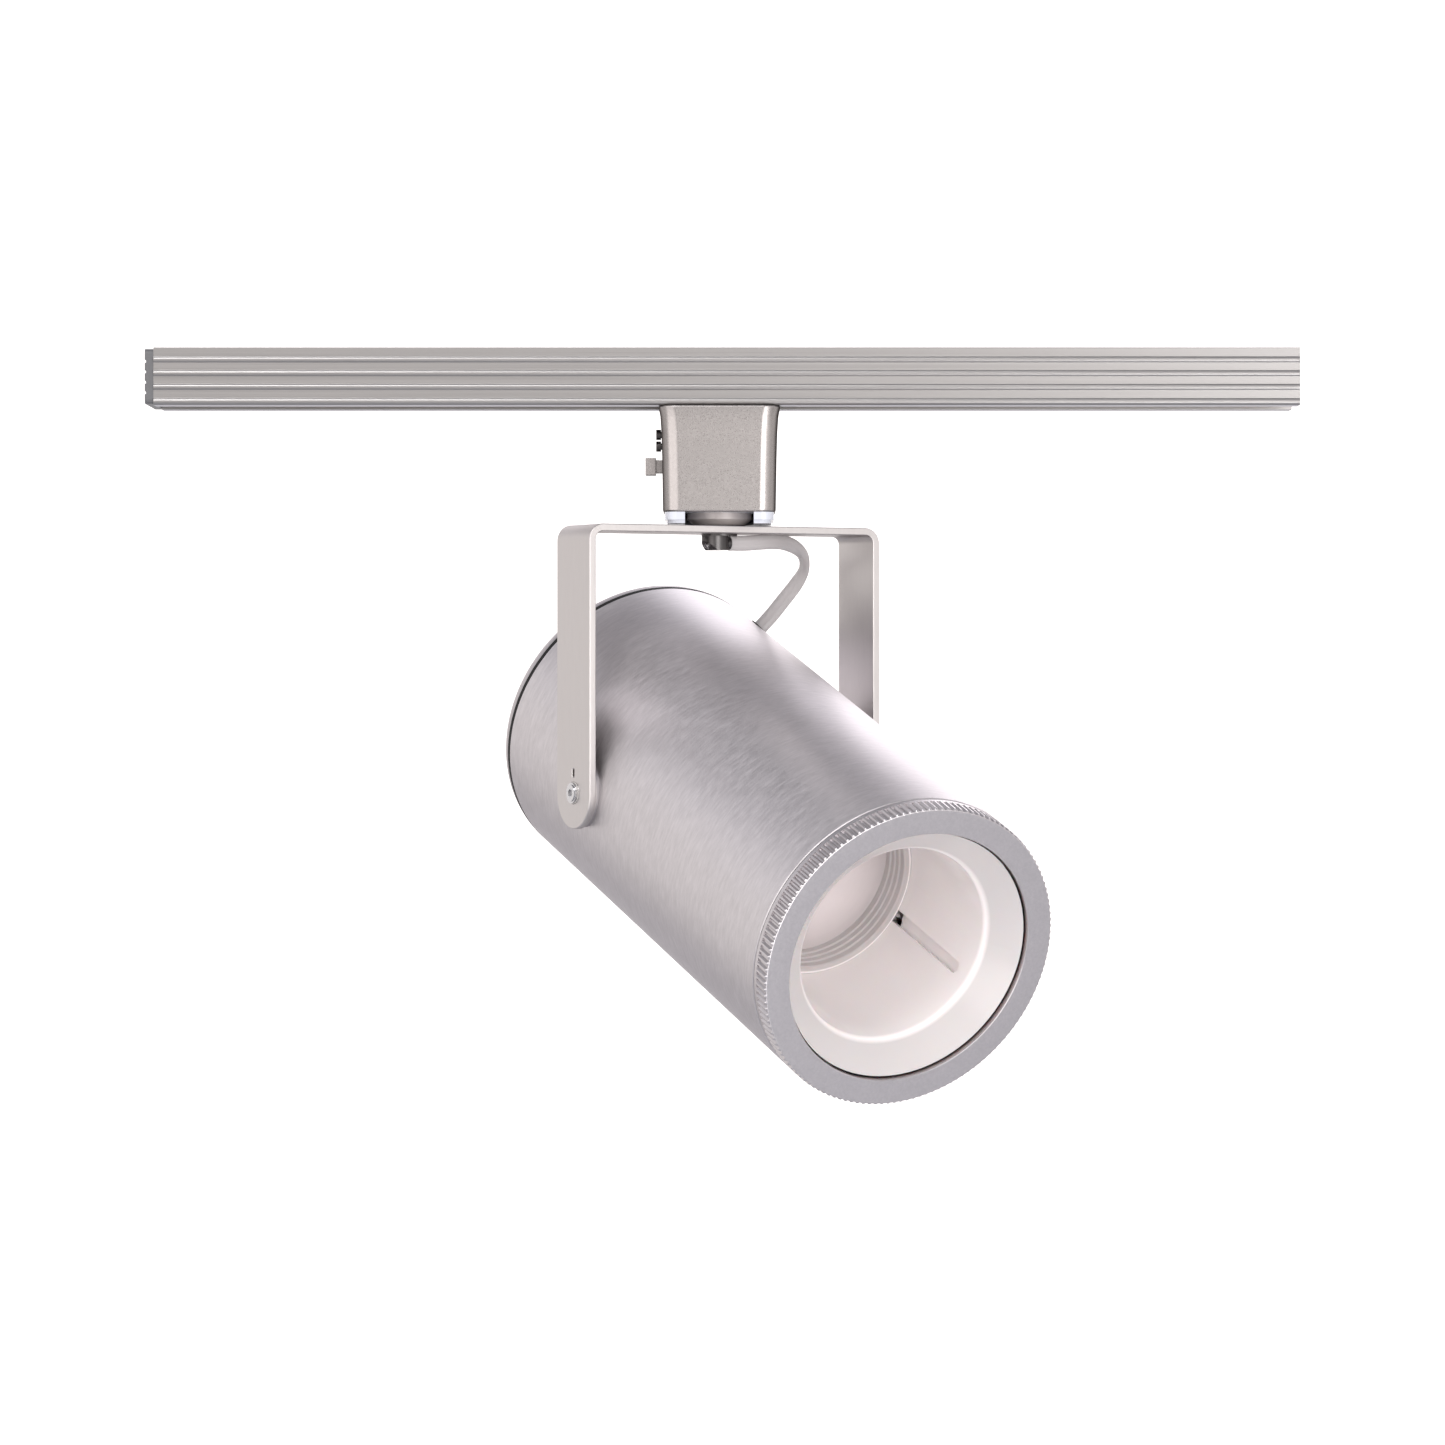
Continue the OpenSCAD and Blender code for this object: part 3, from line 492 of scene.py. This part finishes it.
def turned(name, outline, node, segments, radius_at=None):
    """A piece turned about the head's axis, from a closed outline in metres.

    The outline is a list of (radius, distance along the axis). radius_at(index, turn) gives the
    radius of an outline point at that share of a turn, or None where the outline has it."""
    vertices = []
    for i, (radius, along) in enumerate(outline):
        for j in range(segments):
            turn = j / segments
            own = radius_at(i, turn) if radius_at else None
            r = radius if own is None else own
            angle = turn * math.tau
            vertices.append((r * math.cos(angle), r * math.sin(angle), along))
    obj = new_mesh(name, vertices, ring_faces(len(outline), segments, closed_rows=True))
    obj.data.transform(HEAD)
    adopt(obj, node, SHARP_ANGLE)
    flatten_faces(obj)


def smoothstep(t):
    """Goes smoothly from 0 to 1 as t does."""
    t = min(1.0, max(0.0, t))
    return t * t * (3 - 2 * t)


# ---------------------------------------------------------------- head pieces


def make_body_tube():
    """The head's tube, with a small chamfer at each outer edge."""
    low, high, inner, outer = turned_span("body_tube")
    edge = 0.25 * MM
    outline = [
        (inner, low),
        (outer - edge, low),
        (outer, low + edge),
        (outer, high - edge),
        (outer - edge, high),
        (inner, high),
    ]
    turned("brushed_tube", outline, "body_tube", 288)


GRIP_TEETH = 140
TOOTH_STEPS = 8
TOOTH_DEPTH = 0.65 * MM
# Each tooth's crest is this far from its middle, and each flank this wide, as shares of a tooth
TOOTH_CREST, TOOTH_FLANK = 0.16, 0.2
# The teeth are lower by this much at the two edges of their band
TOOTH_EDGE = 0.12 * MM
RING_BORE = 36.9 * MM
# Points of the ring's outline on the band of teeth: True on its top, False at its edges
BAND_POINTS = {5: False, 6: True, 7: True, 8: False}


def make_focus_ring():
    """The front ring: satin face, cut grip teeth and the sleeve inside the tube."""
    low, nose, _, outer = turned_span("focus_ring")
    sleeve = turned_span("body_tube")[2] - 0.08 * MM
    sleeve_inner = sleeve - 2.1 * MM
    shoulder = nose - 7 * MM
    back = shoulder - 0.5 * MM
    band_low, band_high = nose - 5.6 * MM, nose - 0.45 * MM
    land = outer - 0.2 * MM
    slope = 0.25 * MM
    lip = nose - 1.7 * MM
    recess = RING_BORE + 1.6 * MM
    outline = [
        (RING_BORE, lip),
        (RING_BORE, nose - 0.2 * MM),
        (RING_BORE + 0.2 * MM, nose),
        (outer - 0.75 * MM, nose),
        (outer - 0.5 * MM, nose - 0.12 * MM),
        (outer, band_high),
        (outer, band_high - slope),
        (outer, band_low + slope),
        (outer, band_low),
        (land, band_low),
        (land, shoulder + 0.1 * MM),
        (land - 0.1 * MM, shoulder),
        (sleeve, shoulder),
        (sleeve, low),
        (sleeve_inner, low),
        (sleeve_inner, back),
        (recess, back),
        (recess, lip),
    ]

    def tooth_radius(i, turn):
        if i not in BAND_POINTS:
            return None
        share = turn * GRIP_TEETH % 1.0
        cut = smoothstep((abs(share - 0.5) - TOOTH_CREST) / TOOTH_FLANK)
        radius = outer - TOOTH_DEPTH * cut
        return radius if BAND_POINTS[i] else radius - TOOTH_EDGE

    turned("grip_ring", outline, "focus_ring", GRIP_TEETH * TOOTH_STEPS, tooth_radius)


# ---------------------------------------------------------------- adapter


def rounded_loop(width, depth, radius, count=96):
    """Points round a rectangle with round corners, starting at the middle of the +X side."""
    quarter = count // 4
    points = []
    for q, (sx, sy) in enumerate([(1, 1), (-1, 1), (-1, -1), (1, -1)]):
        centre = Vector((sx * (width / 2 - radius), sy * (depth / 2 - radius)))
        for i in range(quarter):
            angle = (q + (i + 0.5) / quarter) * math.pi / 2
            points.append(centre + radius * Vector((math.cos(angle), math.sin(angle))))
    return points


DRAFT = 1.25 * MM
CORNER = 5 * MM
WALL = 1.8 * MM
CASTING_ROUND = 0.6 * MM
EDGE_STEPS = 4
NECK_OPENING = 14.6 * MM
# How much of the draft there is, at each share of the way down from the top
TAPER = ((0.92, 0.75), (0.82, 0.5), (0.65, 0.25), (0.4, 0.1))


def make_adapter_housing():
    """The tapered casting with round corners and soft edges."""
    low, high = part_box("adapter_housing")
    width, depth = high.x - low.x, high.y - low.y
    neck_low, neck_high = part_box("adapter_neck")
    rows = []

    def add_row(points, z):
        rows.append([(p.x, p.y, z) for p in points])

    def loop(inset, draft_share, z):
        shrink = 2 * (DRAFT * draft_share + inset)
        add_row(rounded_loop(width - shrink, depth - shrink, CORNER - inset * 0.8), z)

    def rounded_edge(draft_share, z, side):
        """A quarter round at the bottom edge (side 1) or the top edge (side -1)."""
        for i in range(EDGE_STEPS + 1)[::side]:
            a = i / EDGE_STEPS * math.pi / 2
            rise = side * CASTING_ROUND * (1 - math.cos(a))
            loop(CASTING_ROUND * (1 - math.sin(a)), draft_share, z + rise)

    loop(WALL, 1, low.z)
    rounded_edge(1, low.z, 1)
    for draft_share, drop in TAPER:
        loop(0, draft_share, high.z - (high.z - low.z) * drop)
    rounded_edge(0, high.z, -1)
    opening = rounded_loop(neck_high.x - neck_low.x, NECK_OPENING, 0.6 * MM)
    under_top = high.z - 2 * MM
    add_row(opening, high.z)
    add_row(opening, under_top)
    loop(WALL, 0.1, under_top)
    vertices = [point for row in rows for point in row]
    faces = ring_faces(len(rows), len(rows[0]), closed_rows=True)
    obj = new_mesh("adapter_casting", vertices, faces)
    adopt(obj, "adapter_housing", SHARP_ANGLE)
    cut_lever_window(obj)


# The lever's window: room above the tab, how far below the tab's top it reaches before the
# lever's travel is added, its size along the rail and across it, and how far its middle is in
# from the lever's left end
WINDOW_PLAY = 0.3 * MM
WINDOW_DROP = 4.9 * MM
WINDOW_DEPTH = 10 * MM
WINDOW_WIDTH = 6.4 * MM
WINDOW_INWARD = 7 * MM


def cut_lever_window(obj):
    """Opens the slot that the lock lever slides in."""
    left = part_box("lock_lever")[0].x
    travel = -JOINTS["lever_slide"]["range_m"][0]
    tab_top = high_of_tab()
    window_top = tab_top + WINDOW_PLAY
    window_low = tab_top - WINDOW_DROP - travel
    bpy.ops.mesh.primitive_cube_add(size=1)
    cutter = bpy.context.object
    cutter.scale = (WINDOW_DEPTH, WINDOW_WIDTH, window_top - window_low)
    cutter.location = (left + WINDOW_INWARD, 0, (window_top + window_low) / 2)
    cut = obj.modifiers.new("window", "BOOLEAN")
    cut.operation = "DIFFERENCE"
    cut.solver = "EXACT"
    cut.object = cutter
    bpy.context.view_layer.update()
    baked(obj)
    bpy.data.objects.remove(cutter)
    obj.data.set_sharp_from_angle(angle=math.radians(CASTING_SHARP_ANGLE))
    flatten_faces(obj)


def high_of_tab():
    """Top of the lever's thumb tab, which is its leftmost part."""
    mesh = frame["nodes"]["lock_lever"].data
    left = min(v.co.x for v in mesh.vertices)
    return max(v.co.z for v in mesh.vertices if v.co.x < left + 1 * MM)


# ---------------------------------------------------------------- cord

# The cord's route in the yoke's frame, in mm: across, back, and above the tilt axis
CORD_ROUTE = [
    (3.2, 0, 72.25), (8.5, 0.2, 72.3), (14, 1, 72.7), (19.5, 3, 73),
    (25, 6, 72.8), (31, 10, 71.4), (36, 14.6, 68.8), (38.6, 19, 65.2),
    (37.6, 21.9, 61.2), (34.9, 24.4, 56.6), (31.8, 26.4, 52), (28.8, 27.94, 48.3),
]
CORD_STEPS = 9
# Each point of the route falls on one in every CORD_STEPS of the mesh's rings
CORD_WIDTH = 4.4 * MM
CORD_THICK = 2.3 * MM
# The cord's twist in degrees: the least, what is added at the middle of the twist, and where
# along the cord that is and how far it spreads, as shares of its length
TWIST_LEAST, TWIST_ADDED, TWIST_AT, TWIST_SPREAD = 10, 48, 0.58, 0.13


def spline(points, steps):
    """A smooth curve through all the points."""
    line = []
    last = len(points) - 1
    for i in range(last):
        a, b = points[max(0, i - 1)], points[i]
        c, d = points[i + 1], points[min(last, i + 2)]
        for k in range(steps):
            t = k / steps
            line.append(
                0.5 * (2 * b + (c - a) * t + (2 * a - 5 * b + 4 * c - d) * t * t
                       + (3 * b - a - 3 * c + d) * t ** 3)
            )
    return line + [points[last]]


def twin_section(count=24):
    """Outline of a twin cord, across and thick, with a waist between its two cores."""
    points = []
    half, core = (CORD_WIDTH - CORD_THICK) / 2, CORD_THICK / 2
    for i in range(count):
        angle = i / count * math.tau
        x, y = math.cos(angle), math.sin(angle)
        across = x * (half * abs(x) ** 0.5 + core)
        thick = y * core * (1 - 0.22 * math.exp(-((across / (0.3 * MM)) ** 2)))
        points.append((across, thick))
    return points


def make_cord():
    """The flat twin cord from the elbow to the head."""
    route = [YOKE @ (Vector(p) * MM) for p in CORD_ROUTE]
    line = spline(route, CORD_STEPS)
    section = twin_section()
    vertices = []
    depthwise = Vector((0, 1, 0))
    for i, point in enumerate(line):
        ahead = line[min(i + 1, len(line) - 1)] - line[max(i - 1, 0)]
        heading = ahead.normalized()
        side = heading.cross(depthwise).normalized()
        share = i / (len(line) - 1)
        bell = math.exp(-(((share - TWIST_AT) / TWIST_SPREAD) ** 2))
        twist = math.radians(TWIST_LEAST + TWIST_ADDED * bell)
        side = Matrix.Rotation(twist, 3, heading) @ side
        up = heading.cross(side)
        vertices += [point + side * a + up * b for a, b in section]
    count = len(section)
    faces = ring_faces(len(line), count)
    faces += [tuple(range(count)), tuple(range(len(vertices) - count, len(vertices)))]
    obj = new_mesh("twin_cord", vertices, faces)
    clean(obj.data, ROUNDED_SHARP_ANGLE)
    dress(obj, "cord_jacket")
    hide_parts("power_cord")
    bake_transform(obj)


# ---------------------------------------------------------------- stage

# The focal length is 6000 pixels, in a picture that is 1445 pixels wide
SENSOR_MM = 36
FOCAL_MM = SENSOR_MM * 6000 / 1445
CAMERA_FROM_PIVOT = Vector((0.9, -1740.9, 20.2)) * MM


def make_camera():
    """A level camera a little above the head's pivot, looking along +Y."""
    data = bpy.data.cameras.new("camera")
    data.lens = FOCAL_MM
    data.sensor_width = SENSOR_MM
    data.clip_end = 50
    camera = placed("camera", data)
    camera.location = PIVOT + CAMERA_FROM_PIVOT
    camera.rotation_euler = (math.pi / 2, 0, 0)
    bpy.context.scene.camera = camera


# The floor's distance below the object and half its side, in metres
FLOOR_DEPTH = 1.8
FLOOR_HALF = 4.0


def make_floor():
    """A plain pale floor, well below the hanging object."""
    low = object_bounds()[0][2] - FLOOR_DEPTH
    sides = [(-1, -1), (1, -1), (1, 1), (-1, 1)]
    corners = [(x * FLOOR_HALF, y * FLOOR_HALF, low) for x, y in sides]
    floor = new_mesh("floor", corners, [(0, 1, 2, 3)])
    floor.data.materials.append(Recipe("floor", (0.62, 0.63, 0.65), 0.0, 0.7).material)


LIGHT_AIM = Vector((0, 0, -0.12))


def add_softbox(name, place, side, power):
    """A square soft light of this side in metres and power in watts, aimed at the object."""
    data = bpy.data.lights.new(name, "AREA")
    data.shape = "RECTANGLE"
    data.size = data.size_y = side
    data.energy = power
    light = placed(name, data)
    light.location = place
    light.rotation_euler = (LIGHT_AIM - Vector(place)).to_track_quat("-Z", "Y").to_euler()


# The studio's brightness between its zones, and its colours low down and overhead
STUDIO_LEVEL = 0.42
STUDIO_WARM = (1.0, 0.965, 0.955)
STUDIO_COOL = (0.97, 0.96, 1.04)
# Soft zones: name, direction, brightness added, and the angles in degrees from that direction
# at which the zone ends and is full
STUDIO_ZONES = [
    ("backdrop", (0.05, 0.95, 0.26), 1.05, 42, 26),
    ("left window", (-0.97, 0.12, 0.20), 0.46, 46, 28),
    ("rear left", (-0.55, 0.78, 0.28), 0.55, 30, 10),
    ("right window", (0.97, 0.10, 0.10), 0.50, 40, 20),
    ("top light", (0.55, 0.50, 0.67), 0.80, 34, 12),
    ("rear top light", (0.33, 0.77, 0.54), 1.90, 26, 8),
    ("low left", (-0.62, 0.72, -0.25), 0.35, 32, 10),
    ("left strip", (-0.68, -0.73, 0.00), 1.70, 36, 24),
    ("right strip", (0.62, -0.78, 0.00), 0.85, 34, 22),
    ("front", (0.10, -1.00, 0.05), 0.24, 45, 15),
    ("front right", (0.35, -0.93, 0.00), 0.45, 26, 8),
]


def make_studio():
    """A soft studio all round: a plain backdrop behind, and wide soft zones at the sides."""
    world = bpy.data.worlds.new("studio")
    world.use_nodes = True
    tree = world.node_tree
    background = tree.nodes["Background"]
    direction = tree.nodes.new("ShaderNodeTexCoord").outputs["Generated"]
    total = None
    for _, centre, added, ends, full in STUDIO_ZONES:
        dot = tree.nodes.new("ShaderNodeVectorMath")
        dot.operation = "DOT_PRODUCT"
        dot.inputs[1].default_value = Vector(centre).normalized()
        tree.links.new(direction, dot.inputs[0])
        zone = tree.nodes.new("ShaderNodeMapRange")
        zone.interpolation_type = "SMOOTHSTEP"
        zone.inputs["From Min"].default_value = math.cos(math.radians(ends))
        zone.inputs["From Max"].default_value = math.cos(math.radians(full))
        zone.inputs["To Max"].default_value = added
        tree.links.new(dot.outputs["Value"], zone.inputs["Value"])
        add = tree.nodes.new("ShaderNodeMath")
        add.inputs[0].default_value = STUDIO_LEVEL
        if total is not None:
            tree.links.new(total, add.inputs[0])
        tree.links.new(zone.outputs["Result"], add.inputs[1])
        total = add.outputs["Value"]
    tree.links.new(total, background.inputs["Strength"])
    height = tree.nodes.new("ShaderNodeSeparateXYZ")
    tree.links.new(direction, height.inputs["Vector"])
    rise = tree.nodes.new("ShaderNodeMapRange")
    rise.inputs["From Min"].default_value = 0.15
    rise.inputs["From Max"].default_value = 0.85
    tree.links.new(height.outputs["Z"], rise.inputs["Value"])
    tint = tree.nodes.new("ShaderNodeMix")
    tint.data_type = "RGBA"
    tint.inputs["A"].default_value = (*STUDIO_WARM, 1)
    tint.inputs["B"].default_value = (*STUDIO_COOL, 1)
    tree.links.new(rise.outputs["Result"], tint.inputs["Factor"])
    tree.links.new(tint.outputs["Result"], background.inputs["Color"])
    bpy.context.scene.world = world


def make_lights():
    """Three soft lights in the studio."""
    make_studio()
    add_softbox("key", (-0.4, -1.5, 1.4), 0.7, 14)
    add_softbox("front fill", (0.62, -1.25, -0.12), 0.7, 5)
    add_softbox("low fill", (0.42, -1.12, -0.9), 0.45, 4)


# ---------------------------------------------------------------- assembly

# CAD nodes that get rounded edges, with the width of each edge in mm
ROUNDED_NODES = {
    "track_rail": 0.12,
    "yoke_bracket": 0.3,
    "track_end_cap": 0.3,
    "lock_lever": 0.3,
    "cord_elbow": 0.2,
    "adapter_bottom_cover": 0.25,
}

make_camera()
make_cord()
finish_cad_nodes()
make_body_tube()
make_focus_ring()
make_adapter_housing()
for node_name, width in ROUNDED_NODES.items():
    softened(node_name, width)
make_floor()
make_lights()
bpy.context.scene.view_settings.view_transform = "Standard"
